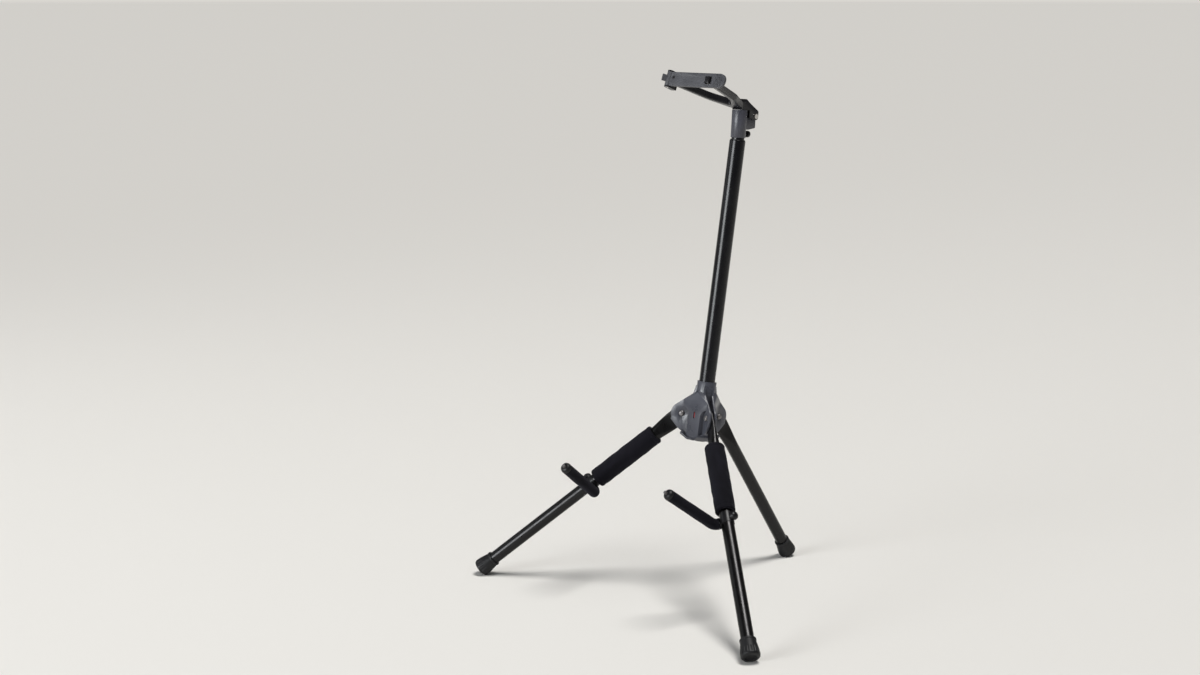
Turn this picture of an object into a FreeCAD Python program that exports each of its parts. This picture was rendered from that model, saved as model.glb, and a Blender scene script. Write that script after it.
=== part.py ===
import FreeCAD, Part
import math
import os

# Folding guitar stand: a leaning mast on three folding legs, two swing-out support arms
# on the front legs, and a folding neck yoke with a rubber strap on a telescoping tube.
# Sizes are in millimetres and angles in degrees.
# The pieces are modelled in the mast frame: origin where the mast axis crosses the plane of the
# leg pivots, +Z up the mast, -Y to the front, +X to the right of someone facing the front.
# At the end everything is leaned back and lifted so that the three feet stand on Z = 0.

V = FreeCAD.Vector

# Fits
slip_fit = 0.05
running_gap = 0.3
seat_gap = 0.3
edge_round = 0.8
full_round = 0.95
turned_chords = 3

# Legs
leg_spread = 45.0
leg_diameter = 20.0
leg_wall = 1.5
front_leg_length = 430.5
rear_leg_length = 327.5
pivot_radius = 33.5
blade_width = 28.0
blade_thickness = 5.0
blade_length = 20.2
neck_end = 68.0
leg_fold = 135.0

# Leg pivot rivets
rivet_diameter = 6.0
rivet_head_diameter = 9.4
rivet_head_height = 3.0

# Foot caps
cap_length = 30.0
cap_top_diameter = 23.6
cap_lip_diameter = 25.0
cap_lip_length = 3.0
cap_base_diameter = 29.5
cap_edge_radius = 4.0
cap_floor = 6.0
foot_flat_depth = 0.5

# Foam pads on the front legs
pad_start = 56.0
pad_end = 179.0
pad_diameter = 32.0
pad_end_radius = 4.0

# Support arms
arm_pin_place = 192.0
arm_turn = 31.0
arm_open_angle = 96.0
arm_length = 112.0
arm_rod_diameter = 8.0
arm_bend_radius = 10.5
sleeve_diameter = 17.5
arm_cap_length = 7.0
arm_nub_diameter = 5.0
arm_nub_length = 4.0
arm_nut_diameter = 14.0
arm_nut_height = 8.0
arm_bush_wall = 1.2
arm_bush_flange = 0.8
arm_bush_flange_reach = 1.4
sleeve_straight = 0.8

# Mast
mast_diameter = 25.4
mast_wall = 1.4
mast_top = 441.0
mast_bottom = -36.0
mast_rim_radius = 1.2
mast_plug_dome = 4.5
mast_plug_depth = 12.0

# Hub
cheek_corner_radius = 21.2
plate_half_width = 5.8
sole_end_radius = 50.0
sole_end_half_width = 10.0
collar_diameter = 30.6
collar_top = 55.6
shoulder_height = 37.0
gable_fall = 0.5
gable_lift = 0.6
face_bend_height = 24.0
face_bend_run = 5.0
rib_half_width = 8.0
rib_top = 48.0
rib_spread = 4.5
lobe_radius = 17.6
entry_distance = 19.5
entry_rise = 4.0
entry_drop = 14.5
hub_heel_radius = 29.5
hub_heel_height = -28.5
hub_foot_radius = 18.0
hub_bottom = -35.7
slot_mouth_width = 15.0
slot_mouth_start = 12.5
pocket_radius = 12.0
pocket_lip = 2.0
rivet_sunk = 0.2
slit_width = 3.0
slit_height = 10.0
slit_middle = 1.2
base_thickness = 3.0
base_lip = 1.0
base_edge_round = 1.0
base_bend_round = 4.0

# Leg lock
lock_leaf = 2.1
lock_ring_wall = 2.6
lock_ring_height = 3.0
lock_nose_height = 4.0
lock_nose_entry = 2.2
lock_notch_height = 5.0
lock_notch_depth = 3.0
lock_tab_width = 2.2
lock_tab_height = 8.0
lock_tab_sunk = 1.5

# Telescoping tube and head socket
inner_tube_diameter = 20.6
inner_tube_wall = 1.5
height_travel = 120.0
tube_overlap = 60.0
bush_length = 30.0
bush_flange_height = 1.4
glide_length = 16.0
head_gap = 4.7
head_tilt = 5.7
socket_diameter = 23.8
socket_length = 43.5
socket_bore_depth = 16.0
lug_width = 12.0
lug_rear_rib = 4.4
lug_foot = 13.0
lug_foot_rise = 3.0
lug_round = 2.0
lug_throat_round = 4.0
knob_height = 6.0
knob_diameter = 10.6
knob_reach = 25.0
knob_thickness = 6.0
knob_round = 2.0
knob_screw_diameter = 5.0
knob_boss = 2.0
knob_boss_diameter = 8.6
knob_screw_entry = 0.55

# Yoke
hinge_behind = 28.5
hinge_below = 9.2
hinge_pin_diameter = 5.0
hinge_head_height = 1.2
hinge_head_diameter = 8.0
yoke_cheek = 4.0
yoke_knuckle_radius = 5.6
yoke_root_height = 17.5
yoke_top_round = 5.0
yoke_back_round = 3.0
yoke_under_round = 2.0
fork_rise = 34.0
fork_reach = 116.0
fork_height = 11.0
fork_bar = 8.5
fork_tip_spread = 41.0
fork_root_half_width = 10.3
fork_crotch = 26.0
fork_bow_place = 45.0
fork_bow_spread = 25.0
fork_bow_radius = 60.0
fork_crotch_radius = 5.0
fork_edge_chamfer = 1.4
fork_tip_round = 2.0
fork_root_round = 6.0
peg_width = 9.0
peg_height = 10.0
peg_reach = 3.5
peg_round = 1.5

# Strap
strap_height = 22.0
strap_thickness = 4.5
strap_tab_reach = 28.0
strap_slot_play = 2.0
strap_slot_round = 1.0
strap_post_diameter = 4.0
strap_knuckle_diameter = 10.0
strap_grip_length = 11.5
strap_grip_thickness = 4.0
strap_grip_angle = 240.0
strap_window_diameter = 5.0
strap_rib_count = 7
strap_rib_pitch = 2.6
strap_rib_height = 0.8
strap_rib_width = 1.3
clevis_ear = 2.0
clevis_back = 2.0

# Worked-out values
spread = math.radians(leg_spread)
leg_radius = leg_diameter / 2
slot_half = blade_thickness / 2 + running_gap
mast_radius = mast_diameter / 2
hub_bore = mast_radius + slip_fit
socket_bottom = mast_top + head_gap
inner_tube_reach = height_travel + tube_overlap
hinge_height = socket_length - hinge_below
cheek_corner_half_width = cheek_corner_radius * math.sin(math.radians(60))
cheek_corner_out = cheek_corner_radius * math.cos(math.radians(60))
flare_end_radius = 2 * cheek_corner_radius - plate_half_width * math.tan(math.radians(60))
sole_taper = (cheek_corner_half_width - sole_end_half_width) / (sole_end_radius - cheek_corner_out)
hub_reach = sole_end_radius + lobe_radius
fork_tilt = math.degrees(math.atan2(fork_rise, fork_reach))
fork_length = math.hypot(fork_reach, fork_rise)
post_place = -fork_length - clevis_back - running_gap - strap_knuckle_diameter / 2
strap_back = post_place + strap_thickness / 2
strap_front = post_place - strap_thickness / 2
blade_round = blade_width / 2
arm_hole = arm_rod_diameter / 2 + slip_fit
sleeve_start = leg_radius + arm_bush_flange + running_gap
arm_offset = sleeve_start + sleeve_straight + arm_bend_radius
leg_azimuth = {"left": 210.0, "right": -30.0, "rear": 90.0}
leg_length = {"left": front_leg_length, "right": front_leg_length, "rear": rear_leg_length}
side_sign = {"left": -1, "right": 1}


def moved(shape, placement):
    """The shape carried by a placement."""
    copy = shape.copy()
    copy.Placement = placement.multiply(copy.Placement)
    return copy


def turned_z(profile):
    """A solid turned about the Z axis from corners given as radius and height."""
    corners = [V(r, 0, z) for r, z in profile]
    face = Part.Face(Part.makePolygon(corners + corners[:1]))
    return face.revolve(V(0, 0, 0), V(0, 0, 1), 360)


def rounded_wire(corners, plane):
    """A closed outline through (u, v, radius) corners, each rounded by its own tangent arc."""
    count = len(corners)
    starts = []
    ends = []
    mids = []
    for i, (u, v, radius) in enumerate(corners):
        here = V(u, v, 0)
        before = (V(corners[i - 1][0], corners[i - 1][1], 0) - here).normalize()
        after = (V(corners[(i + 1) % count][0], corners[(i + 1) % count][1], 0) - here).normalize()
        half = before.getAngle(after) / 2
        trim = radius / math.tan(half) if radius else 0
        starts.append(here + before * trim)
        ends.append(here + after * trim)
        inward = (before + after).normalize()
        mids.append(here + inward * (radius / math.sin(half) - radius))
    edges = []
    for i in range(count):
        if corners[i][2]:
            arc = Part.Arc(plane(starts[i]), plane(mids[i]), plane(ends[i]))
            edges.append(arc.toShape())
        run_start = plane(ends[i])
        run_end = plane(starts[(i + 1) % count])
        if (run_end - run_start).Length > 1e-6:
            edges.append(Part.makeLine(run_start, run_end))
    return Part.Wire(edges)


def turned_part(corners, axis):
    """A solid turned from an outline, whose roundings are cut into chords so that its faces stay few."""
    count = len(corners)
    points = []
    for i, (u, v, radius) in enumerate(corners):
        here = V(u, 0, v)
        if not radius:
            points.append(here)
            continue
        before = (V(corners[i - 1][0], 0, corners[i - 1][1]) - here).normalize()
        after = (V(corners[(i + 1) % count][0], 0, corners[(i + 1) % count][1]) - here).normalize()
        half = before.getAngle(after) / 2
        centre = here + (before + after).normalize() * (radius / math.sin(half))
        first = here + before * (radius / math.tan(half)) - centre
        last = here + after * (radius / math.tan(half)) - centre
        swing = first.getAngle(last)
        chords = 1 if radius <= edge_round else turned_chords
        for step in range(chords + 1):
            share = swing * step / chords
            spoke = (first * math.sin(swing - share) + last * math.sin(share)) / math.sin(swing)
            points.append(centre + spoke)
    face = Part.Face(Part.makePolygon(points + points[:1]))
    return face.revolve(V(0, 0, 0), axis, 360)


def slab(corners, plane, push):
    """A rounded outline pushed out along a vector."""
    return Part.Face(rounded_wire(corners, plane)).extrude(push)


def in_xz(y):
    """A plane across Y: outline u runs along X, v along Z."""
    return lambda p: V(p.x, y, p.y)


def in_yz(x):
    """A plane across X: outline u runs along Y, v along Z."""
    return lambda p: V(x, p.x, p.y)


def in_xy(z):
    """A plane across Z: outline u runs along X, v along Y."""
    return lambda p: V(p.x, p.y, z)


def tube_x(start, end, radius, bore):
    """A round tube along X."""
    outer = Part.makeCylinder(radius, end - start, V(start, 0, 0), V(1, 0, 0))
    return outer.cut(Part.makeCylinder(bore, end - start, V(start, 0, 0), V(1, 0, 0)))


def radial_frame(azimuth):
    """Placement that turns a piece made along +X to a leg's own direction round the mast."""
    return FreeCAD.Placement(V(0, 0, 0), FreeCAD.Rotation(V(0, 0, 1), azimuth))


def leg_frame(azimuth):
    """Placement of a leg made along +X from its pivot, with the pivot axis along Y."""
    tip = FreeCAD.Placement(V(pivot_radius, 0, 0), FreeCAD.Rotation(V(0, 1, 0), 90 - leg_spread))
    return radial_frame(azimuth).multiply(tip)


def leg_point(along, up):
    """A point of a leg's radial plane, from its distance down the leg and square to it."""
    x = pivot_radius + along * math.sin(spread) + up * math.cos(spread)
    z = -along * math.cos(spread) + up * math.sin(spread)
    return x, z


def neck_solid(extra):
    """The leg's pressed neck: a cone from the blade's width to the tube, flattened by two planes."""
    run = neck_end - blade_length
    cone = Part.makeCone(blade_round + extra, leg_radius + extra, run, V(blade_length, 0, 0), V(1, 0, 0))
    thin = blade_thickness / 2 + extra
    full = leg_radius + extra
    deep = blade_width + extra
    corners = [(blade_length, -thin, 0), (neck_end, -full, 0), (neck_end, full, 0), (blade_length, thin, 0)]
    wedge = slab(corners, in_xy(-deep), V(0, 0, 2 * deep))
    return cone.common(wedge)


def blade_notch(turn):
    """A notch in the blade's round end for the lock's nose, turned about the pivot."""
    notch = Part.makeBox(
        2 * lock_notch_depth, blade_thickness + 2, lock_notch_height,
        V(-blade_round - lock_notch_depth, -blade_thickness / 2 - 1, -lock_notch_height / 2))
    notch.rotate(V(0, 0, 0), V(0, 1, 0), leg_spread - 90 + turn)
    return notch


def make_leg(length, arm_side):
    """One leg: a flat pierced blade, a swelling neck and a round tube, drilled for its arm."""
    blade = Part.makeBox(blade_length, blade_thickness, blade_width,
                         V(0, -blade_thickness / 2, -blade_width / 2))
    tail = Part.makeCylinder(blade_round, blade_thickness, V(0, -blade_thickness / 2, 0), V(0, 1, 0))
    end = length - cap_floor
    tube = tube_x(neck_end, end, leg_radius, leg_radius - leg_wall)
    leg = blade.fuse([tail, neck_solid(0), tube])
    leg = leg.cut(Part.makeCylinder(rivet_diameter / 2 + slip_fit, blade_thickness,
                                    V(0, -blade_thickness / 2, 0), V(0, 1, 0)))
    leg = leg.cut([blade_notch(0), blade_notch(leg_fold)])
    if arm_side:
        axis = arm_pin_axis(arm_side)
        hole = arm_hole + arm_bush_wall
        leg = leg.cut(Part.makeCylinder(hole, 2 * leg_diameter,
                                        V(arm_pin_place, 0, 0) - axis * leg_diameter, axis))
    return leg.removeSplitter()


def make_foot_cap(length):
    """A rubber tip: lip ring, tapered wall, round lower edge and a solid floor."""
    start = length - cap_length
    base = cap_base_diameter / 2
    edge = cap_edge_radius
    corners = [
        (start, leg_radius + slip_fit, 0),
        (start, cap_lip_diameter / 2, edge_round),
        (start + cap_lip_length, cap_lip_diameter / 2, edge_round),
        (start + cap_lip_length, cap_top_diameter / 2, 0),
        (length - 2 * edge, base, 1.5 * edge),
        (length, base, edge),
        (length, 0, 0),
        (length - cap_floor, 0, 0),
        (length - cap_floor, leg_radius + slip_fit, 0),
    ]
    return turned_part(corners, V(1, 0, 0))


def make_pad():
    """A foam sleeve round a front leg, with rolled ends, stretched over the end of the neck."""
    bore = leg_radius + slip_fit
    share = (neck_end - pad_start) / (neck_end - blade_length)
    stretch = (blade_width / 2 - leg_radius) * share
    corners = [
        (pad_start, bore + stretch, 0),
        (pad_start, pad_diameter / 2, pad_end_radius),
        (pad_end, pad_diameter / 2, pad_end_radius),
        (pad_end, bore, 0),
        (neck_end, bore, 0),
    ]
    return turned_part(corners, V(1, 0, 0))


def arm_pin_axis(side):
    """Direction of a support arm's pivot in its leg's frame, towards the upper outer side."""
    turn = math.radians(arm_turn)
    return V(0, side_sign[side] * math.sin(turn), math.cos(turn))


def arm_frame(side):
    """Placement of an arm made with its pivot up Z and its reach along X."""
    lift = arm_pin_axis(side)
    open_angle = math.radians(arm_open_angle)
    across = V(1, 0, 0).cross(lift) * side_sign[side]
    reach = V(math.cos(open_angle), 0, 0) + across * math.sin(open_angle)
    third = lift.cross(reach)
    matrix = FreeCAD.Matrix(
        reach.x, third.x, lift.x, arm_pin_place,
        reach.y, third.y, lift.y, 0,
        reach.z, third.z, lift.z, 0,
        0, 0, 0, 1)
    return FreeCAD.Placement(matrix)


def bent_bar(radius, top, tip):
    """A bar that comes down Z from a height, bends, and runs out along X to a reach."""
    drop_end = -arm_offset + arm_bend_radius
    drop = Part.makeCylinder(radius, top - drop_end, V(0, 0, drop_end), V(0, 0, 1))
    centre = V(arm_bend_radius, 0, drop_end)
    ring = Part.Face(Part.Wire(Part.makeCircle(radius, V(0, 0, drop_end), V(0, 0, 1))))
    bend = ring.revolve(centre, V(0, -1, 0), 90)
    run = Part.makeCylinder(radius, tip - arm_bend_radius, V(arm_bend_radius, 0, -arm_offset), V(1, 0, 0))
    return drop.fuse([bend, run]).removeSplitter()


def make_arm_rod():
    """The steel rod of a support arm, with the nub that shows at its tip."""
    rod = bent_bar(arm_rod_diameter / 2, leg_radius + arm_nut_height / 2, arm_length - arm_cap_length)
    nub = Part.makeCylinder(arm_nub_diameter / 2, arm_cap_length + arm_nub_length,
                            V(arm_length - arm_cap_length, 0, -arm_offset), V(1, 0, 0))
    return rod.fuse(nub).removeSplitter()


def make_arm_sleeve():
    """The soft sleeve that covers a support arm from the leg to its cap."""
    sleeve = bent_bar(sleeve_diameter / 2, -sleeve_start, arm_length - arm_cap_length)
    core = bent_bar(arm_rod_diameter / 2 + slip_fit, -sleeve_start, arm_length - arm_cap_length)
    return sleeve.cut(core)


def make_arm_cap():
    """The domed end of a support arm, pierced by the rod's nub."""
    start = arm_length - arm_cap_length
    corners = [
        (start, arm_nub_diameter / 2 + slip_fit, 0),
        (start, sleeve_diameter / 2, 0),
        (arm_length, sleeve_diameter / 2, arm_cap_length * 0.8),
        (arm_length, arm_nub_diameter / 2 + slip_fit, 0),
    ]
    cap = turned_part(corners, V(1, 0, 0))
    cap.translate(V(0, 0, -arm_offset))
    return cap


def make_arm_nut():
    """The domed push nut that keeps a support arm's pivot in its leg."""
    base = sleeve_start
    top = base + arm_nut_height
    rod = arm_rod_diameter / 2 + slip_fit
    hole_top = leg_radius + arm_nut_height / 2 + slip_fit
    corners = [
        (rod, base, 0),
        (arm_nut_diameter / 2, base, 0),
        (arm_nut_diameter / 2, top, arm_nut_height * 0.6),
        (0, top, 0),
        (0, hole_top, 0),
        (rod, hole_top, 0),
    ]
    return turned_part(corners, V(0, 0, 1))


def make_arm_bushes():
    """Two flanged bushes pressed into a front leg, one on each side of the pivot hole."""
    outer = arm_hole + arm_bush_wall
    inner_end = leg_radius - 2 * leg_wall
    flange = outer + arm_bush_flange_reach
    profile = [
        (arm_hole, inner_end),
        (outer - slip_fit, inner_end),
        (outer - slip_fit, leg_radius),
        (flange, leg_radius),
        (flange, leg_radius + arm_bush_flange),
        (arm_hole, leg_radius + arm_bush_flange),
    ]
    upper = turned_z(profile)
    lower = upper.copy()
    lower.rotate(V(0, 0, 0), V(1, 0, 0), 180)
    return Part.makeCompound([upper, lower])


def tangent_point(from_x, from_z):
    """Where a line from a point touches the top of the lobe round a leg pivot."""
    dx = from_x - pivot_radius
    reach = math.hypot(dx, from_z)
    base = math.atan2(from_z, dx)
    opening = math.acos(lobe_radius / reach)
    angle = base - opening
    return pivot_radius + lobe_radius * math.cos(angle), lobe_radius * math.sin(angle)


def heel_line(radius):
    """Height of the hub's lower edge at a distance from the mast axis: flat, then sloping up."""
    slope = (hub_heel_height - hub_bottom) / (hub_heel_radius - hub_foot_radius)
    return hub_bottom + slope * max(0, radius - hub_foot_radius)


def plan_slab(half_plan, low, high):
    """A third of the hub's plan, made from the corners of its left half and pushed up between two heights."""
    corners = [(0, 0, 0)]
    corners += [(x, -y, 0) for x, y in half_plan]
    corners += [(x, y, 0) for x, y in reversed(half_plan)]
    return slab(corners, in_xy(low), V(0, 0, high - low))


def cheek_plan():
    """A pair of cheeks from above: wide flares at the middle that run into two flat plates."""
    half_plan = [
        (cheek_corner_out, cheek_corner_half_width),
        (flare_end_radius, plate_half_width),
        (hub_reach, plate_half_width),
    ]
    return plan_slab(half_plan, hub_bottom, collar_top)


def sole_plan():
    """A third of the sole plate from above, with its lip, tapering evenly outwards."""
    steep = math.tan(math.radians(60))
    middle = sole_end_half_width + sole_taper * sole_end_radius + base_lip
    near = middle / (steep + sole_taper)
    half_plan = [(near, near * steep), (hub_reach, middle - sole_taper * hub_reach)]
    return plan_slab(half_plan, hub_bottom - base_thickness, hub_heel_height)


def gable(peak, slope):
    """The space under an arm's upper side: level across its plates, and falling to both sides of them."""
    half = cheek_corner_radius
    crest = peak + gable_lift
    eaves = crest - gable_fall * (half - plate_half_width)
    corners = [(-half, eaves, 0), (-plate_half_width, crest, 0), (plate_half_width, crest, 0),
               (half, eaves, 0), (half, hub_bottom, 0), (-half, hub_bottom, 0)]
    return slab(corners, in_yz(0), V(hub_reach, 0, -slope * hub_reach))


def hub_arm():
    """One fan-shaped pair of cheeks, still solid, for a leg along +X."""
    start = collar_diameter / 2
    touch_x, touch_z = tangent_point(start, shoulder_height)
    slope = (shoulder_height - touch_z) / (touch_x - start)
    peak = shoulder_height + slope * start
    high_x, high_z = leg_point(entry_distance, entry_rise)
    low_x, low_z = leg_point(entry_distance, -entry_drop)
    corners = [
        (0, peak, 0),
        (touch_x, touch_z, 0),
        (high_x, high_z, 0),
        (low_x, low_z, 0),
        (hub_heel_radius, hub_heel_height, 0),
        (hub_foot_radius, hub_bottom, 0),
        (0, hub_bottom, 0),
    ]
    half = cheek_corner_radius
    fan = slab(corners, in_xz(-half), V(0, 2 * half, 0))
    lobe = Part.makeCylinder(lobe_radius, 2 * half, V(pivot_radius, -half, 0), V(0, 1, 0))
    return fan.fuse(lobe).common(cheek_plan()).common(gable(peak, slope))


def face_bend():
    """What is cut off above the bend in the face between two arms, made along +X."""
    reach = cheek_corner_radius
    corners = [(reach, face_bend_height, 0), (reach - face_bend_run, collar_top, 0),
               (2 * reach, collar_top, 0), (2 * reach, face_bend_height, 0)]
    return slab(corners, in_xz(-hub_reach), V(0, 2 * hub_reach, 0))


def collar_ribs():
    """The web that becomes two ribs up the collar, one on each side of a leg's slot."""
    inner = mast_radius / 2
    outer = collar_diameter / 2
    low = shoulder_height - 2 * rib_spread
    corners = [(inner, low, 0), (outer + rib_spread, low, 0), (outer, rib_top, 0), (inner, rib_top, 0)]
    return slab(corners, in_xz(-rib_half_width), V(0, 2 * rib_half_width, 0))


def leg_slot():
    """The space that a leg's blade needs between its cheeks, from open to folded up."""
    sweep = blade_round + running_gap
    floor_x, floor_z = leg_point(0, -sweep)
    far_x, far_z = leg_point(3 * entry_distance, -sweep)
    top = collar_top
    inner = pivot_radius - sweep
    low = math.radians(180 + leg_spread / 2)
    mid = V(pivot_radius + sweep * math.cos(low), 0, sweep * math.sin(low))
    edges = [
        Part.makeLine(V(inner, 0, top), V(inner, 0, 0)),
        Part.Arc(V(inner, 0, 0), mid, V(floor_x, 0, floor_z)).toShape(),
        Part.makeLine(V(floor_x, 0, floor_z), V(far_x, 0, far_z)),
        Part.makeLine(V(far_x, 0, far_z), V(far_x, 0, top)),
        Part.makeLine(V(far_x, 0, top), V(inner, 0, top)),
    ]
    face = Part.Face(Part.Wire(edges))
    face.translate(V(0, -slot_half, 0))
    return face.extrude(V(0, 2 * slot_half, 0))


def slot_mouth():
    """The wedge by which a leg slot widens towards the collar."""
    low = slot_mouth_start
    corners = [(-slot_half, low, 0), (slot_half, low, 0),
               (slot_mouth_width / 2, collar_top, 0), (-slot_mouth_width / 2, collar_top, 0)]
    start = collar_diameter / 2 + running_gap
    return slab(corners, in_yz(start), V(2 * pivot_radius, 0, 0))


def folded_neck_room():
    """Room in the cheeks for the swelling neck of a leg that is folded up."""
    neck = neck_solid(running_gap)
    neck.rotate(V(0, 0, 0), V(0, 1, 0), -90)
    neck.translate(V(pivot_radius, 0, 0))
    return neck


def cheek_pocket(side):
    """The arched pocket round a rivet, cut into a flare as deep as the flat plate beside it."""
    floor = side * plate_half_width
    deep = V(0, side * cheek_corner_radius, 0)
    arch = Part.makeCylinder(pocket_radius, cheek_corner_radius, V(pivot_radius, floor, 0), deep)
    inner = pivot_radius - pocket_radius
    corners = [
        (inner, 0, 0),
        (hub_reach, 0, 0),
        (hub_reach, hub_heel_height + pocket_lip, 0),
        (hub_heel_radius, hub_heel_height + pocket_lip, 0),
        (inner, heel_line(inner) + pocket_lip, 0),
    ]
    return arch.fuse(slab(corners, in_xz(floor), deep))


def lock_pocket():
    """Room for one leaf of the leg lock between the mast and the leg's blade."""
    end = pivot_radius - blade_round
    high = slit_middle + slit_height
    start = hub_bore / 2
    return Part.makeBox(end - start, 2 * slot_half, high - hub_bottom, V(start, -slot_half, hub_bottom))


def tab_pocket():
    """Room for one of the lock's red tabs, and the window that shows it, made along +X."""
    half = slit_width / 2
    start = hub_bore / 2
    end = hub_bore + lock_leaf + 2 * running_gap
    leaf = Part.makeBox(end - start, slit_width, slit_middle + slit_height / 2 - hub_bottom,
                        V(start, -half, hub_bottom))
    window = Part.makeBox(2 * cheek_corner_radius, slit_width, slit_height,
                          V(start, -half, slit_middle - slit_height / 2))
    return leaf.fuse(window)


def rivet_seat():
    """Distance of a rivet head's flat seat from the leg's middle plane."""
    return plate_half_width - rivet_sunk


def rivet_room():
    """A pivot rivet's hole through both cheeks and the spot faces under its heads."""
    seat = rivet_seat()
    hole = Part.makeCylinder(rivet_diameter / 2 + slip_fit, 4 * seat,
                             V(pivot_radius, -2 * seat, 0), V(0, 1, 0))
    spot = rivet_head_diameter / 2 + running_gap
    right = Part.makeCylinder(spot, seat, V(pivot_radius, seat, 0), V(0, 1, 0))
    left = Part.makeCylinder(spot, seat, V(pivot_radius, -2 * seat, 0), V(0, 1, 0))
    return hole.fuse([right, left])


def make_hub():
    """The moulded hub: a ribbed collar and three slotted pairs of cheeks with pockets."""
    collar = Part.makeCylinder(collar_diameter / 2, collar_top - hub_bottom, V(0, 0, hub_bottom))
    arms = []
    bends = []
    ribs = []
    cuts = []
    for azimuth in leg_azimuth.values():
        turn = radial_frame(azimuth)
        arms.append(moved(hub_arm(), turn))
        ribs.append(moved(collar_ribs(), turn))
        for cut in (leg_slot(), slot_mouth(), folded_neck_room(), lock_pocket(), rivet_room(),
                    cheek_pocket(1), cheek_pocket(-1)):
            cuts.append(moved(cut, turn))
        cuts.append(moved(tab_pocket(), radial_frame(azimuth + 60)))
        bends.append(moved(face_bend(), radial_frame(azimuth + 60)))
    ring_room = hub_bore + lock_ring_wall + running_gap
    cuts.append(Part.makeCylinder(ring_room, lock_ring_height + running_gap, V(0, 0, hub_bottom)))
    cuts.append(Part.makeCylinder(hub_bore, collar_top - hub_bottom, V(0, 0, hub_bottom)))
    body = arms[0].fuse(arms[1:]).cut(bends)
    hub = collar.fuse([body] + ribs).cut(cuts)
    return hub.removeSplitter()


def make_sole_plate():
    """The plate that closes the hub from below, with a lip all round."""
    plates = []
    edge = hub_heel_radius + base_lip
    width = cheek_corner_radius + base_lip
    for azimuth in leg_azimuth.values():
        corners = [
            (0, hub_bottom, 0),
            (hub_foot_radius, hub_bottom, 0),
            (hub_heel_radius, hub_heel_height, 0),
            (edge, hub_heel_height, 0),
            (edge, hub_heel_height - base_thickness, base_edge_round),
            (hub_foot_radius, hub_bottom - base_thickness, base_bend_round),
            (0, hub_bottom - base_thickness, 0),
        ]
        plate = slab(corners, in_xz(-width), V(0, 2 * width, 0))
        plates.append(moved(plate.common(sole_plan()), radial_frame(azimuth)))
    sole = plates[0].fuse(plates[1:])
    sole = sole.cut(Part.makeCylinder(hub_bore, 2 * base_thickness, V(0, 0, hub_bottom - base_thickness)))
    return sole.removeSplitter()


def make_lock():
    """The red leg lock: a ring with three springy nosed leaves and three tabs that show outside."""
    start = hub_bore + slip_fit
    ring = Part.makeCylinder(hub_bore + lock_ring_wall, lock_ring_height, V(0, 0, hub_bottom))
    half = slot_half - running_gap
    tab_half = lock_tab_width / 2
    nose_reach = pivot_radius - blade_round + lock_nose_entry - start
    tab_reach = cheek_corner_radius - lock_tab_sunk - start
    tab_top = slit_middle + lock_tab_height / 2
    pieces = []
    for azimuth in leg_azimuth.values():
        leaf = Part.makeBox(lock_leaf, 2 * half, slit_height / 2 - hub_bottom, V(start, -half, hub_bottom))
        nose = Part.makeBox(nose_reach, 2 * half, lock_nose_height, V(start, -half, -lock_nose_height / 2))
        pieces.append(moved(leaf.fuse(nose), radial_frame(azimuth)))
        stem = Part.makeBox(lock_leaf, lock_tab_width, tab_top - hub_bottom, V(start, -tab_half, hub_bottom))
        tab = Part.makeBox(tab_reach, lock_tab_width, lock_tab_height,
                           V(start, -tab_half, tab_top - lock_tab_height))
        pieces.append(moved(stem.fuse(tab), radial_frame(azimuth + 60)))
    lock = ring.fuse(pieces)
    mast = Part.makeCylinder(start, mast_top - mast_bottom, V(0, 0, mast_bottom))
    return lock.cut(mast).removeSplitter()


def make_rivets():
    """Three pivot rivets, domed on both sides of the hub."""
    rivets = []
    seat = rivet_seat()
    head = rivet_head_diameter / 2
    profile = [
        (0, -seat - rivet_head_height, 0),
        (head, -seat - rivet_head_height, rivet_head_height * full_round),
        (head, -seat, 0),
        (rivet_diameter / 2, -seat, 0),
        (rivet_diameter / 2, seat, 0),
        (head, seat, 0),
        (head, seat + rivet_head_height, rivet_head_height * full_round),
        (0, seat + rivet_head_height, 0),
    ]
    rivet = turned_part(profile, V(0, 0, 1))
    rivet.rotate(V(0, 0, 0), V(1, 0, 0), 90)
    rivet.translate(V(pivot_radius, 0, 0))
    for azimuth in leg_azimuth.values():
        rivets.append(moved(rivet, radial_frame(azimuth)))
    return Part.makeCompound(rivets)


def make_mast():
    """The main tube, with its top rim rolled in."""
    bore = mast_radius - mast_wall
    corners = [
        (bore, mast_bottom, 0),
        (mast_radius, mast_bottom, 0),
        (mast_radius, mast_top, mast_rim_radius),
        (bore, mast_top, 0),
    ]
    return turned_part(corners, V(0, 0, 1))


def make_mast_plug():
    """The domed plug in the lower end of the mast."""
    spigot = mast_radius - mast_wall - slip_fit
    top = mast_bottom + mast_plug_depth
    corners = [
        (0, top, 0),
        (spigot, top, edge_round),
        (spigot, mast_bottom, 0),
        (mast_radius, mast_bottom, 0),
        (mast_radius, mast_bottom - mast_plug_dome, mast_plug_dome * full_round),
        (0, mast_bottom - mast_plug_dome, 0),
    ]
    return turned_part(corners, V(0, 0, 1))


def make_mast_bush():
    """The plastic guide bush in the top of the mast, with a thin flange on the rim."""
    bore = inner_tube_diameter / 2 + slip_fit
    outer = mast_radius - mast_wall - slip_fit
    return turned_z([
        (bore, mast_top - bush_length), (outer, mast_top - bush_length), (outer, mast_top),
        (outer + mast_wall / 2, mast_top), (outer + mast_wall / 2, mast_top + bush_flange_height),
        (bore, mast_top + bush_flange_height)])


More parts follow.
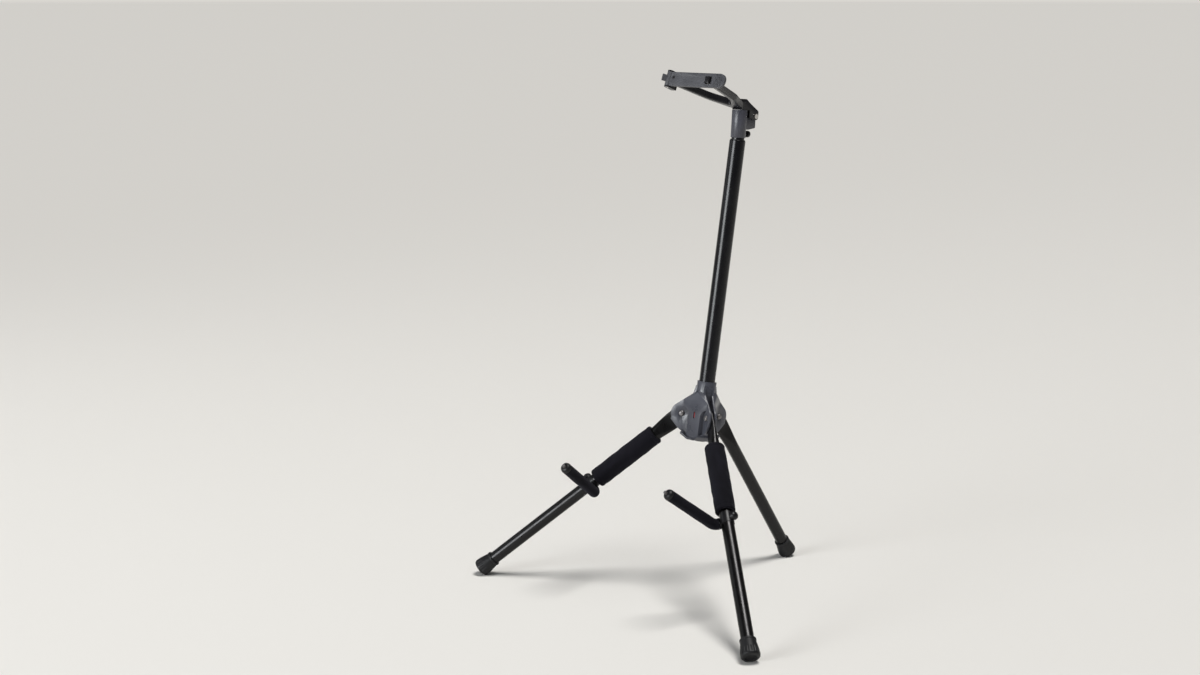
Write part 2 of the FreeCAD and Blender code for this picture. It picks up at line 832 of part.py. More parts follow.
def make_inner_tube():
    """The telescoping tube, from inside the mast into the bore of the head socket."""
    outer = inner_tube_diameter / 2
    bore = outer - inner_tube_wall
    low = mast_top - inner_tube_reach
    high = socket_bottom + socket_bore_depth
    return turned_z([(bore, low), (outer, low), (outer, high), (bore, high)])


def head_frame():
    """Placement of the head, which is tilted forward on the end of the telescoping tube."""
    return FreeCAD.Placement(V(0, 0, socket_bottom), FreeCAD.Rotation(V(1, 0, 0), head_tilt))


def make_glide():
    """The glide plug in the lower end of the telescoping tube, which runs in the mast."""
    low = mast_top - inner_tube_reach
    run = mast_radius - mast_wall - slip_fit
    plug = inner_tube_diameter / 2 - inner_tube_wall - slip_fit
    corners = [
        (0, low - glide_length / 2, 0),
        (run, low - glide_length / 2, edge_round),
        (run, low, 0),
        (plug, low, 0),
        (plug, low + glide_length / 2, edge_round),
        (0, low + glide_length / 2, 0),
    ]
    return turned_part(corners, V(0, 0, 1))


def make_socket():
    """The head socket: a capped sleeve with a hinge lug and a screw boss at the back."""
    radius = socket_diameter / 2
    sleeve = Part.makeCylinder(radius, socket_length)
    half = lug_width / 2
    rear = hinge_behind + lug_rear_rib
    lug = slab([
        (0, lug_foot, 0),
        (radius + lug_rear_rib, lug_foot, 0),
        (rear, lug_foot + lug_foot_rise, lug_round),
        (rear, hinge_height + lug_rear_rib, lug_rear_rib * full_round),
        (hinge_behind - lug_rear_rib, hinge_height + lug_rear_rib, lug_round),
        (radius + lug_rear_rib, hinge_height, lug_throat_round),
        (0, hinge_height, 0),
    ], in_yz(-half), V(2 * half, 0, 0))
    boss = Part.makeCylinder(knob_boss_diameter / 2, radius + knob_boss, V(0, 0, knob_height), V(0, 1, 0))
    body = sleeve.fuse([lug, boss])
    body = body.cut(Part.makeCylinder(hinge_pin_diameter / 2 + slip_fit, 2 * lug_width,
                                      V(-lug_width, hinge_behind, hinge_height), V(1, 0, 0)))
    body = body.cut(Part.makeCylinder(knob_screw_diameter / 2 + slip_fit, 2 * radius,
                                      V(0, 0, knob_height), V(0, 1, 0)))
    body = moved(body, head_frame())
    bore = inner_tube_diameter / 2 + slip_fit
    body = body.cut(Part.makeCylinder(bore, socket_bore_depth + head_gap, V(0, 0, mast_top)))
    return body.removeSplitter()


def make_knob():
    """The round clamp knob behind the socket, with its screw down to the telescoping tube."""
    tip = socket_diameter / 2 - knob_screw_entry
    screw = knob_screw_diameter / 2
    head = knob_diameter / 2
    neck = knob_reach - knob_thickness
    corners = [
        (0, tip, 0),
        (screw, tip, 0),
        (screw, neck, 0),
        (head, neck, edge_round),
        (head, knob_reach, knob_round),
        (0, knob_reach, 0),
    ]
    knob = turned_part(corners, V(0, 0, 1))
    knob.rotate(V(0, 0, 0), V(1, 0, 0), -90)
    knob.translate(V(0, 0, knob_height))
    return moved(knob, head_frame())


def fork_frame():
    """Placement of the fork's own plane in the head frame: -Y runs out to the tips."""
    middle = socket_length + seat_gap + fork_height / 2
    return FreeCAD.Placement(V(0, 0, middle), FreeCAD.Rotation(V(1, 0, 0), -fork_tilt))


def fork_outline():
    """Plan of the fork: a solid root, two bowed prongs and a round crotch between them."""
    half = fork_bar / 2
    root = fork_root_half_width
    right = [
        (0, -fork_crotch + fork_crotch_radius, fork_crotch_radius),
        (fork_bow_spread - half, -fork_bow_place - half, fork_bow_radius),
        (fork_tip_spread - half, -fork_length, fork_tip_round),
        (fork_tip_spread + half, -fork_length, fork_tip_round),
        (fork_bow_spread + half, -fork_bow_place, fork_bow_radius),
        (root, -root / 2, fork_root_round),
        (root, root / 2, fork_tip_round),
    ]
    left = [(-u, v, radius) for u, v, radius in reversed(right[1:])]
    return right + left


def fork_tips():
    """The fittings at the prong tips: a clevis for the strap's post and a peg for its slot."""
    inner_end = -fork_length + fork_bar
    width = strap_knuckle_diameter
    ear_start = strap_height / 2 + running_gap
    back = -fork_length - clevis_back
    clevis = Part.makeBox(width, inner_end - back, 2 * (ear_start + clevis_ear),
                          V(-fork_tip_spread - width / 2, back, -ear_start - clevis_ear))
    ears = []
    for low in (-ear_start - clevis_ear, ear_start):
        plate = Part.makeBox(width, back - post_place, clevis_ear,
                             V(-fork_tip_spread - width / 2, post_place, low))
        nose = Part.makeCylinder(width / 2, clevis_ear, V(-fork_tip_spread, post_place, low))
        ears.append(plate.fuse(nose))
    clevis = clevis.fuse(ears)
    clevis = clevis.cut(Part.makeCylinder(strap_post_diameter / 2, 2 * strap_height,
                                          V(-fork_tip_spread, post_place, -strap_height)))
    shoulder = Part.makeBox(fork_bar, inner_end - strap_back - running_gap, peg_height,
                            V(fork_tip_spread - fork_bar / 2, strap_back + running_gap, -peg_height / 2))
    peg = slab([
        (-peg_width / 2, inner_end, 0),
        (-peg_width / 2, strap_front - peg_reach, peg_round),
        (peg_width / 2, strap_front - peg_reach, peg_round),
        (peg_width / 2, inner_end, 0),
    ], in_xy(-peg_height / 2), V(0, 0, peg_height))
    peg.translate(V(fork_tip_spread, 0, 0))
    return [clevis, shoulder, peg]


def yoke_back():
    """The yoke's root over the socket and the two cheeks that run back to the hinge."""
    radius = socket_diameter / 2
    seat = socket_length + seat_gap
    top = socket_length + yoke_root_height
    hinge = yoke_knuckle_radius
    behind = radius + 2 * running_gap
    width = lug_width / 2 + running_gap + yoke_cheek
    corners = [
        (-radius / 2, seat, 0),
        (behind, seat, 0),
        (behind, hinge_height - hinge / 2, 0),
        (hinge_behind - hinge / 2, hinge_height - hinge, yoke_under_round),
        (hinge_behind + hinge, hinge_height - hinge, hinge * full_round),
        (hinge_behind + hinge, hinge_height + hinge * 1.5, yoke_back_round),
        (radius, top - hinge, yoke_top_round),
        (radius / 3, top, yoke_top_round),
        (-radius / 2, top, yoke_top_round),
    ]
    back = slab(corners, in_yz(-width), V(2 * width, 0, 0))
    gap = lug_width / 2 + running_gap
    throat = Part.makeBox(2 * gap, 2 * hinge_behind, 2 * socket_length,
                          V(-gap, behind - running_gap, seat - 2 * socket_length))
    split = Part.makeBox(2 * gap, 2 * hinge_behind, 2 * socket_length,
                         V(-gap, radius + hinge, seat - socket_length))
    return back.cut([throat, split])


def make_fork():
    """The yoke: two prongs with their tip fittings, a root and two hinge cheeks."""
    half = fork_height / 2
    plan = slab(fork_outline(), in_xy(-half), V(0, 0, fork_height))
    rims = [e for e in plan.Edges if e.BoundBox.ZLength < 1e-6]
    plan = plan.makeChamfer(fork_edge_chamfer, rims)
    prongs = moved(plan.fuse(fork_tips()), fork_frame())
    seat = socket_length + seat_gap
    room = socket_diameter / 2 + 2 * running_gap
    prongs = prongs.cut(Part.makeCylinder(room, fork_height, V(0, 0, seat - fork_height)))
    fork = prongs.fuse(yoke_back())
    width = fork_root_half_width
    fork = fork.cut(Part.makeCylinder(hinge_pin_diameter / 2, 4 * width,
                                      V(-2 * width, hinge_behind, hinge_height), V(1, 0, 0)))
    return moved(fork.removeSplitter(), head_frame())


def make_hinge_pin():
    """The yoke's hinge pin, held in the yoke's cheeks, with a low head at each end."""
    width = lug_width / 2 + running_gap + yoke_cheek
    pin = Part.makeCylinder(hinge_pin_diameter / 2, 2 * width, V(-width, 0, 0), V(1, 0, 0))
    head = Part.makeCylinder(hinge_head_diameter / 2, hinge_head_height, V(width, 0, 0), V(1, 0, 0))
    other = Part.makeCylinder(hinge_head_diameter / 2, hinge_head_height, V(-width, 0, 0), V(-1, 0, 0))
    pin = pin.fuse([head, other])
    pin.translate(V(0, hinge_behind, hinge_height))
    return moved(pin, head_frame())


def make_strap_post():
    """The post that the strap turns on, held in the clevis of the left-hand prong."""
    half = strap_height / 2 + running_gap + clevis_ear
    post = Part.makeCylinder(strap_post_diameter / 2, 2 * half, V(-fork_tip_spread, post_place, -half))
    return moved(moved(post, fork_frame()), head_frame())


def make_strap():
    """The rubber strap: a knuckle on the post, a band, a peg slot and a ribbed thumb tab."""
    half = strap_height / 2
    knuckle_x = -fork_tip_spread
    end = fork_tip_spread + peg_width / 2 + strap_tab_reach
    knuckle = Part.makeCylinder(strap_knuckle_diameter / 2, strap_height, V(knuckle_x, post_place, -half))
    band = slab([
        (knuckle_x, -half, 0),
        (end, -half, half * full_round),
        (end, half, half * full_round),
        (knuckle_x, half, 0),
    ], in_xz(strap_back), V(0, -strap_thickness, 0))
    grip = Part.makeBox(strap_grip_length, strap_grip_thickness, peg_height,
                        V(0, -strap_grip_thickness / 2, -peg_height / 2))
    grip.rotate(V(0, 0, 0), V(0, 0, 1), strap_grip_angle)
    grip.translate(V(knuckle_x, post_place, 0))
    ribs = []
    for index in range(strap_rib_count):
        x = end - strap_rib_pitch * (index + 1.5)
        rib_half = half - strap_rib_width - max(0, strap_rib_pitch * (2 - index))
        ribs.append(Part.makeBox(strap_rib_width, strap_rib_height + 1, 2 * rib_half,
                                 V(x, strap_front - strap_rib_height, -rib_half)))
    strap = band.fuse([knuckle, grip] + ribs)
    slot_half_height = peg_height / 2 + strap_slot_play / 2
    slot = slab([
        (fork_tip_spread - peg_width / 2 - 2 * running_gap, -slot_half_height, strap_slot_round),
        (fork_tip_spread + peg_width / 2 + strap_slot_play, -slot_half_height, strap_slot_round),
        (fork_tip_spread + peg_width / 2 + strap_slot_play, slot_half_height, strap_slot_round),
        (fork_tip_spread - peg_width / 2 - 2 * running_gap, slot_half_height, strap_slot_round),
    ], in_xz(strap_back + 1), V(0, -strap_thickness - 2, 0))
    hole = Part.makeCylinder(strap_post_diameter / 2 + slip_fit, 2 * strap_height,
                             V(knuckle_x, post_place, -strap_height))
    window = Part.makeCylinder(strap_window_diameter / 2, 2 * strap_thickness,
                               V(knuckle_x + strap_knuckle_diameter, strap_back + 1, half / 4), V(0, -1, 0))
    strap = strap.cut([slot, hole, window])
    return moved(moved(strap, fork_frame()), head_frame())


def foot_low(azimuth, length, lean):
    """Height of a foot cap's lowest point, with the mast leaning back, above the mast frame's origin."""
    a = math.radians(azimuth)
    edge = length - cap_edge_radius
    y = (pivot_radius + edge * math.sin(spread)) * math.sin(a)
    z = -edge * math.cos(spread)
    down = -(-math.sin(spread) * math.sin(a) * math.sin(lean) - math.cos(spread) * math.cos(lean))
    tilt = math.sqrt(1 - down * down)
    height = -y * math.sin(lean) + z * math.cos(lean)
    return height - (cap_base_diameter / 2 - cap_edge_radius) * tilt - cap_edge_radius


def foot_reach(azimuth, length, lean, way):
    """How far a foot cap reaches to the front (way -1) or the back (way +1)."""
    a = math.radians(azimuth)
    edge = length - cap_edge_radius
    y = (pivot_radius + edge * math.sin(spread)) * math.sin(a)
    z = -edge * math.cos(spread)
    along_y = math.sin(spread) * math.sin(a) * math.cos(lean) - math.cos(spread) * math.sin(lean)
    place = y * math.cos(lean) + z * math.sin(lean)
    ring = (cap_base_diameter / 2 - cap_edge_radius) * math.sqrt(1 - along_y * along_y)
    return place + way * (ring + cap_edge_radius)


def find_lean():
    """The lean at which front and rear feet stand on one floor, by halving the interval."""
    low = math.radians(-30)
    high = math.radians(40)
    for _ in range(60):
        lean = (low + high) / 2
        front = foot_low(leg_azimuth["left"], front_leg_length, lean)
        rear = foot_low(leg_azimuth["rear"], rear_leg_length, lean)
        if front < rear:
            low = lean
        else:
            high = lean
    return lean


lean = find_lean()
lift = -foot_low(leg_azimuth["rear"], rear_leg_length, lean) - foot_flat_depth
back_shift = -(foot_reach(leg_azimuth["left"], front_leg_length, lean, -1)
               + foot_reach(leg_azimuth["rear"], rear_leg_length, lean, 1)) / 2
stand = FreeCAD.Placement(V(0, back_shift, lift), FreeCAD.Rotation(V(1, 0, 0), -math.degrees(lean)))

# All nodes, in the mast frame
nodes = {}
nodes["hub_body"] = make_hub()
nodes["hub_sole_plate"] = make_sole_plate()
nodes["leg_lock"] = make_lock()
nodes["leg_pivot_rivets"] = make_rivets()
nodes["mast_tube"] = make_mast()
nodes["mast_plug"] = make_mast_plug()
nodes["mast_guide_bush"] = make_mast_bush()
for name, azimuth in leg_azimuth.items():
    place = leg_frame(azimuth)
    arm_side = name if name in side_sign else None
    nodes["leg_tube_" + name] = moved(make_leg(leg_length[name], arm_side), place)
    nodes["foot_cap_" + name] = moved(make_foot_cap(leg_length[name]), place)
    if arm_side:
        arm_place = place.multiply(arm_frame(name))
        nodes["leg_pad_" + name] = moved(make_pad(), place)
        nodes["arm_bushes_" + name] = moved(make_arm_bushes(), arm_place)
        nodes["arm_rod_" + name] = moved(make_arm_rod(), arm_place)
        nodes["arm_sleeve_" + name] = moved(make_arm_sleeve(), arm_place)
        nodes["arm_cap_" + name] = moved(make_arm_cap(), arm_place)
        nodes["arm_nut_" + name] = moved(make_arm_nut(), arm_place)
nodes["inner_tube"] = make_inner_tube()
nodes["inner_tube_glide"] = make_glide()
nodes["head_socket"] = make_socket()
nodes["head_knob"] = make_knob()
nodes["yoke_fork"] = make_fork()
nodes["yoke_hinge_pin"] = make_hinge_pin()
nodes["strap_post"] = make_strap_post()
nodes["strap"] = make_strap()

os.makedirs("parts", exist_ok=True)
floor_room = 4 * cap_base_diameter
floor_block = Part.makeBox(4 * front_leg_length, 4 * front_leg_length, floor_room,
                           V(-2 * front_leg_length, -2 * front_leg_length, -floor_room))
for name, shape in nodes.items():
    placed = moved(shape, stand)
    if name.startswith("foot_cap"):
        placed = placed.cut(floor_block)
    placed.exportStep("parts/" + name + ".step")

print("lean", round(math.degrees(lean), 3), "lift", round(lift, 3), "back shift", round(back_shift, 3))
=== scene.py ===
import math

import bpy
import numpy as np
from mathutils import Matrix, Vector


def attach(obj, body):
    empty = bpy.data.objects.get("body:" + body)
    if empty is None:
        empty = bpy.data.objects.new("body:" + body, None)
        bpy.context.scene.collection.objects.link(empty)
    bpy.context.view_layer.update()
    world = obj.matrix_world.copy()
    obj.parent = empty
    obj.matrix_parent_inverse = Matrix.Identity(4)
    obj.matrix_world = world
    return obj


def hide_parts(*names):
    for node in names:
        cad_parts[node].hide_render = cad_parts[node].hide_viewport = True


# Guitar stand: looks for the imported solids.
# Lengths are in metres and angles in degrees, except where a value says otherwise.
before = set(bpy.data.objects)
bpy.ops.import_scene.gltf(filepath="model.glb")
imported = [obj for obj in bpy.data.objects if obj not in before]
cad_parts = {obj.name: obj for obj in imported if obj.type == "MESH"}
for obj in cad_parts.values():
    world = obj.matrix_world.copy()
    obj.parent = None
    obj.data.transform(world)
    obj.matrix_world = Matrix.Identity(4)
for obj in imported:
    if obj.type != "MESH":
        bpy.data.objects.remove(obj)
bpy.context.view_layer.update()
scene = bpy.context.scene
scene.view_settings.view_transform = "Standard"

TURN = 2 * math.pi  # radians

# Main sizes of the stand, as in the solids
LEAN = 9.896
LIFT = 0.280098
BACK_SHIFT = -0.000731
LEG_SPREAD = 45.0
PIVOT_RADIUS = 0.0335
LEG_AZIMUTH = {"left": 210.0, "right": -30.0, "rear": 90.0}
LEG_LENGTH = {"left": 0.4305, "right": 0.4305, "rear": 0.3275}
SIDE = {"left": -1.0, "right": 1.0}
LEG_RADIUS = 0.010
BLADE_HALF_WIDTH = 0.014
BLADE_HALF_THICKNESS = 0.0025
BLADE_END = 0.0202
NECK_END = 0.068
CAP_LENGTH = 0.030
CAP_FLOOR = 0.006
PAD_START = 0.056
PAD_END = 0.179
PAD_RADIUS = 0.016
ARM_PIN_PLACE = 0.192
ARM_TURN = 31.0
ARM_OPEN = 96.0
ARM_LENGTH = 0.112
ARM_CAP_LENGTH = 0.007
ARM_BEND_RADIUS = 0.0105
ARM_BEND_LENGTH = ARM_BEND_RADIUS * TURN / 4
SLEEVE_RADIUS = 0.00875
SLEEVE_START = 0.0111
SLEEVE_STRAIGHT = 0.0008
MAST_RADIUS = 0.0127
MAST_WALL = 0.0014
MAST_TOP = 0.441
MAST_BOTTOM = -0.036
MAST_RIM = 0.0012

# Points round a tube's skin, and rows along the parts of a leg
TUBE_COLUMNS = 96
TAIL_ROWS = 14
TAIL_FIRST_ANGLE = 0.02  # radians
NECK_ROWS = 70
NECK_FIRST_ROW = 0.001
TUBE_ROWS = 90
TUBE_ROW_GAP = 0.004

# Rubber tip: lip ring, flared wall, hollow sole and flutes
LIP_RADIUS = 0.0125
LIP_LENGTH = 0.0030
LIP_UPPER_ROUND = 0.0009
LIP_LOWER_ROUND = 0.0007
LIP_SLOPE = 0.0003
WALL_TOP_RADIUS = 0.0118
WALL_TOP_ROUND = 0.0003
WALL_WIDE_RADIUS = 0.01465
WALL_WIDE_HEIGHT = 0.0085
WALL_WIDE_ROUND = 0.004
SOLE_RADIUS = 0.01475
SOLE_ROUND = 0.0042
HOLLOW_RADIUS = 0.0092
HOLLOW_SLOPE = 0.0010
HOLLOW_DEPTH = 0.0012
HOLLOW_ROUND = 0.0006
TIP_MEAN_RADIUS = 0.013
TIP_ARC_STEPS = 8
TIP_SPACING = 0.0006
FLUTES = 18
FLUTE_COLUMNS = 10
FLUTE_DEPTH = 0.0008
FLUTE_TOP = 0.0150
FLUTE_FOOT = 0.0030
FLUTE_FADE = 0.0020
FLUTE_LEVEL = 0.35
FLUTE_POWER = 0.7
FLUTE_INNER_RADIUS = 0.011

# Leg pad's cover: rounded ends, slack, hems and seam
PAD_SKIN_RADIUS = 0.0158
PAD_UPPER_ROUND = 0.0030
PAD_LOWER_ROUND = 0.0034
PAD_TURN_RADIUS = 0.0120
PAD_TURN_ROUND = 0.0009
PAD_UPPER_BORE = 0.0104
PAD_LOWER_BORE = 0.0102
PAD_END_DIP = 0.0010
PAD_ARC_STEPS = 12
PAD_SPACING = 0.0010
PAD_COLUMNS = 160
PAD_SKIN_FROM = 0.0130
PAD_SKIN_FADE = 0.0020
PAD_FULLNESS = 0.0002
PAD_PHASE = 1.7  # radians
HEM_INSET = 0.007
HEM_WIDTH = 0.0011
HEM_DEPTH = 0.00035
SEAM_WIDTH = 0.035  # radians round the pad
SEAM_DEPTH = 0.0004
# Waves of slack: depth, radians along the pad, waves round it, shares of the side's phase
PAD_WAVES = ((0.00016, 4.5 * TURN, 2, 1), (0.00012, 23, -3, 2), (0.00010, 41, 5, 0))

# Black band round a front leg at the arm's pin
BAND_LENGTH = 0.019
BAND_RADIUS = 0.0108
BAND_SINK = 0.0002
BAND_ROUND = 0.0004
BAND_ARC_STEPS = 8

# Support arm's sleeve: rounded ends, folds at the bend and slack
SLEEVE_INSET = 0.0001
SLEEVE_END_ROUND = 0.0022
SLEEVE_END_ZONE = 0.004
SLEEVE_END_ROWS = 14
SLEEVE_ROW_GAP = 0.0005
SLEEVE_ROWS = 150
SLEEVE_COLUMNS = 72
FOLD_DEPTH = 0.00035
FOLD_PITCH = 0.0042
FOLD_REACH = 0.45
# Waves of slack: depth, radians per metre along the sleeve, waves round it
SLEEVE_WAVES = ((0.00010, 70, 2), (0.00008, 190, -3))

# Mast's skin
MAST_FOOT_ROUND = 0.0002
MAST_BORE_ROUND = 0.0001
MAST_BORE_DEPTH = 0.012
MAST_ARC_STEPS = 12
MAST_SPACING = 0.004

# Working limits of an outline: the least length to divide by, the gap below which two points
# are one, and the decimals kept of a place along it
LEAST_LENGTH = 1e-12
POINT_GAP = 1e-9
PLACE_DECIMALS = 9


def shift(x, y, z):
    """A 4 by 4 matrix that moves by x, y, z."""
    m = np.eye(4)
    m[:3, 3] = x, y, z
    return m


def turned(axis, angle):
    """A 4 by 4 matrix that turns by an angle in degrees about the x, y or z axis (0, 1, 2)."""
    c = math.cos(math.radians(angle))
    s = math.sin(math.radians(angle))
    a = (axis + 1) % 3
    b = (axis + 2) % 3
    m = np.eye(4)
    m[a, a] = c
    m[a, b] = -s
    m[b, a] = s
    m[b, b] = c
    return m


STAND = shift(0, BACK_SHIFT, LIFT) @ turned(0, -LEAN)


def leg_place(side):
    """Matrix of a leg made down +x from its pivot, with the pivot axis along y."""
    spread = turned(1, 90 - LEG_SPREAD)
    return STAND @ turned(2, LEG_AZIMUTH[side]) @ shift(PIVOT_RADIUS, 0, 0) @ spread


def arm_place(side):
    """Matrix of a support arm made with its pivot up z and its reach along x."""
    tilt = math.radians(ARM_TURN)
    up = np.array([0.0, SIDE[side] * math.sin(tilt), math.cos(tilt)])
    along = np.array([1.0, 0.0, 0.0])
    across = np.cross(along, up) * SIDE[side]
    opened = math.radians(ARM_OPEN)
    reach = along * math.cos(opened) + across * math.sin(opened)
    m = np.eye(4)
    m[:3, 0] = reach
    m[:3, 1] = np.cross(up, reach)
    m[:3, 2] = up
    m[0, 3] = ARM_PIN_PLACE
    return leg_place(side) @ m


def placed(points, matrix):
    """Points of any array shape carried by a 4 by 4 matrix."""
    return points @ matrix[:3, :3].T + matrix[:3, 3]


def skin_faces(rows, columns):
    """Faces of a closed skin on a grid of points: rows run along the piece, columns run round it.

    Face (i, j) joins points (i, j), (i, j+1), (i+1, j+1) and (i+1, j), with the last column
    joined to the first. Each end row is closed by a fan on one point that follows the grid's."""
    index = np.arange(rows * columns).reshape(rows, columns)
    after = np.roll(index, -1, axis=1)
    quads = np.stack([index[:-1], after[:-1], after[1:], index[1:]], axis=-1).reshape(-1, 4)
    first = np.stack([np.full(columns, rows * columns), after[0], index[0]], axis=-1)
    last = np.stack([np.full(columns, rows * columns + 1), index[-1], after[-1]], axis=-1)
    return quads.tolist() + first.tolist() + last.tolist()


def skin_uv(rows, columns, uv_scale):
    """UV places for those faces, one for each of their corners.

    On the four-sided faces, u is the share of the way round times the first scale and v is the
    share of the way along times the second. The corners of a fan have the v of their end."""
    u = np.arange(columns + 1) / columns * uv_scale[0]
    v = np.arange(rows) / (rows - 1) * uv_scale[1]
    low_u, low_v = np.meshgrid(u[:-1], v[:-1])
    high_u, high_v = np.meshgrid(u[1:], v[1:])
    corners = np.stack([np.stack([low_u, low_v], -1), np.stack([high_u, low_v], -1),
                        np.stack([high_u, high_v], -1), np.stack([low_u, high_v], -1)], axis=2)
    near = np.stack([u[:-1], 0 * u[:-1]], -1)
    far = np.stack([u[1:], 0 * u[1:]], -1)
    fan_low = np.stack([near, far, near], axis=1)
    fan_high = fan_low + np.array([0, uv_scale[1]])
    return np.concatenate([corners.reshape(-1, 2), fan_low.reshape(-1, 2), fan_high.reshape(-1, 2)])


def surface(name, points, uv_scale, body, material, replaced=()):
    """A closed skin from a grid of points, with each end row closed on the mean of that row.

    It rides on a body, has a material slot and takes the place of the solids named last."""
    rows, columns = points.shape[:2]
    ends = np.stack([points[0].mean(axis=0), points[-1].mean(axis=0)])
    vertices = np.concatenate([points.reshape(-1, 3), ends])
    mesh = bpy.data.meshes.new(name)
    mesh.from_pydata(vertices.tolist(), [], skin_faces(rows, columns))
    mesh.polygons.foreach_set("use_smooth", np.ones(len(mesh.polygons), bool))
    uv = skin_uv(rows, columns, uv_scale).astype(np.float32)
    mesh.uv_layers.new(name="UVMap").data.foreach_set("uv", uv.ravel())
    mesh.materials.append(material)
    piece = bpy.data.objects.new(name, mesh)
    scene.collection.objects.link(piece)
    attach(piece, body)
    if replaced:
        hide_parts(*replaced)
    return piece


def smooth_step(x):
    """0 below 0, 1 above 1, and between them 3 times x squared less 2 times x cubed."""
    x = np.clip(x, 0, 1)
    return x * x * (3 - 2 * x)


def angles_round(columns):
    """Even angles once round, in radians."""
    return np.arange(columns) / columns * TURN


def round_grid(along, radius, columns):
    """A skin round the x axis: at each place along x, a circle of that radius.

    radius may be one value per row, or a full grid of rows and columns."""
    angle = angles_round(columns)
    if radius.ndim == 1:
        radius = radius[:, None] * np.ones(columns)
    x = along[:, None] * np.ones(columns)
    return np.stack([x, radius * np.cos(angle), radius * np.sin(angle)], axis=-1)


def corner_run(corners, steps):
    """A smooth outline from (along, radius, rounding) corners: each corner is a quarter-like arc.

    The arc is the quadratic curve that starts one rounding before the corner and ends one after,
    with the corner itself as its control point, so neighbouring straight runs stay straight."""
    given = np.array(corners, float)
    place = given[:, :2]
    before = np.roll(place, 1, axis=0) - place
    after = np.roll(place, -1, axis=0) - place
    before[0] = 0
    after[-1] = 0
    reach_before = np.maximum(np.linalg.norm(before, axis=1), LEAST_LENGTH)
    reach_after = np.maximum(np.linalg.norm(after, axis=1), LEAST_LENGTH)
    start = place + before * (given[:, 2] / reach_before)[:, None]
    end = place + after * (given[:, 2] / reach_after)[:, None]
    t = np.linspace(0, 1, steps)[None, :, None]
    arcs = start[:, None] * (1 - t) ** 2 + place[:, None] * 2 * t * (1 - t) + end[:, None] * t ** 2
    return arcs.reshape(-1, 2)


def stretched(outline, spacing):
    """An outline resampled so that its points are at most one spacing apart, with its own kept."""
    step = np.linalg.norm(np.diff(outline, axis=0), axis=1)
    kept = np.concatenate([[True], step > POINT_GAP])
    outline = outline[kept]
    travel = np.concatenate([[0], np.cumsum(np.linalg.norm(np.diff(outline, axis=0), axis=1))])
    even = np.linspace(0, travel[-1], int(travel[-1] / spacing) + 2)
    marks = np.unique(np.concatenate([even, travel]).round(PLACE_DECIMALS))
    return np.stack([np.interp(marks, travel, outline[:, i]) for i in range(2)], axis=-1)


# Finishes
# A noise pattern's values mostly lie between these two.
NOISE_LOW = 0.3
NOISE_HIGH = 0.7


def shaded(colour, factor):
    """A colour made darker or lighter by a factor."""
    return tuple(c * factor for c in colour)


def new_finish(name, colour, roughness, metallic=0.0):
    """A material with its shader's constants set on their own sockets."""
    material = bpy.data.materials.new(name)
    material.use_nodes = True
    shader = material.node_tree.nodes["Principled BSDF"]
    shader.inputs["Base Color"].default_value = (*colour, 1)
    shader.inputs["Roughness"].default_value = roughness
    shader.inputs["Metallic"].default_value = metallic
    return material, material.node_tree, shader


def coordinates(tree, source, scale=(1, 1, 1)):
    """Object or UV coordinates, stretched by a scale on each axis."""
    given = tree.nodes.new("ShaderNodeTexCoord")
    mapping = tree.nodes.new("ShaderNodeMapping")
    mapping.inputs["Scale"].default_value = scale
    tree.links.new(given.outputs[source], mapping.inputs["Vector"])
    return mapping.outputs["Vector"]


def noise(tree, vector, scale, detail, roughness=0.5):
    """A cloudy pattern between 0 and 1."""
    node = tree.nodes.new("ShaderNodeTexNoise")
    node.inputs["Scale"].default_value = scale
    node.inputs["Detail"].default_value = detail
    node.inputs["Roughness"].default_value = roughness
    tree.links.new(vector, node.inputs["Vector"])
    return node.outputs["Fac"]


def tinted(tree, shader, value, low_colour, high_colour):
    """Base colour that runs between two colours with a pattern."""
    ramp = tree.nodes.new("ShaderNodeValToRGB")
    ramp.color_ramp.elements[0].position = NOISE_LOW
    ramp.color_ramp.elements[0].color = (*low_colour, 1)
    ramp.color_ramp.elements[1].position = NOISE_HIGH
    ramp.color_ramp.elements[1].color = (*high_colour, 1)
    tree.links.new(value, ramp.inputs["Fac"])
    tree.links.new(ramp.outputs["Color"], shader.inputs["Base Color"])


def bumped(tree, shader, height, strength, depth):
    """A pattern as fine relief of a given depth in metres."""
    node = tree.nodes.new("ShaderNodeBump")
    node.inputs["Strength"].default_value = strength
    node.inputs["Distance"].default_value = depth
    tree.links.new(height, node.inputs["Height"])
    tree.links.new(node.outputs["Normal"], shader.inputs["Normal"])


def rough_patches(tree, shader, value, low, high):
    """Roughness that runs between two values with a pattern."""
    node = tree.nodes.new("ShaderNodeMapRange")
    node.inputs["From Min"].default_value = NOISE_LOW
    node.inputs["From Max"].default_value = NOISE_HIGH
    node.inputs["To Min"].default_value = low
    node.inputs["To Max"].default_value = high
    tree.links.new(value, node.inputs["Value"])
    tree.links.new(node.outputs["Result"], shader.inputs["Roughness"])


def painted_corner_shade(material, reach):
    """Painted shade: base colour darkened in a piece's own inner corners, within a reach in metres.
    """
    tree = material.node_tree
    shader = tree.nodes["Principled BSDF"]
    corner_shade = tree.nodes.new("ShaderNodeAmbientOcclusion")
    corner_shade.only_local = True
    corner_shade.inputs["Distance"].default_value = reach
    tree.links.new(shader.inputs["Base Color"].links[0].from_socket, corner_shade.inputs["Color"])
    tree.links.new(corner_shade.outputs["Color"], shader.inputs["Base Color"])


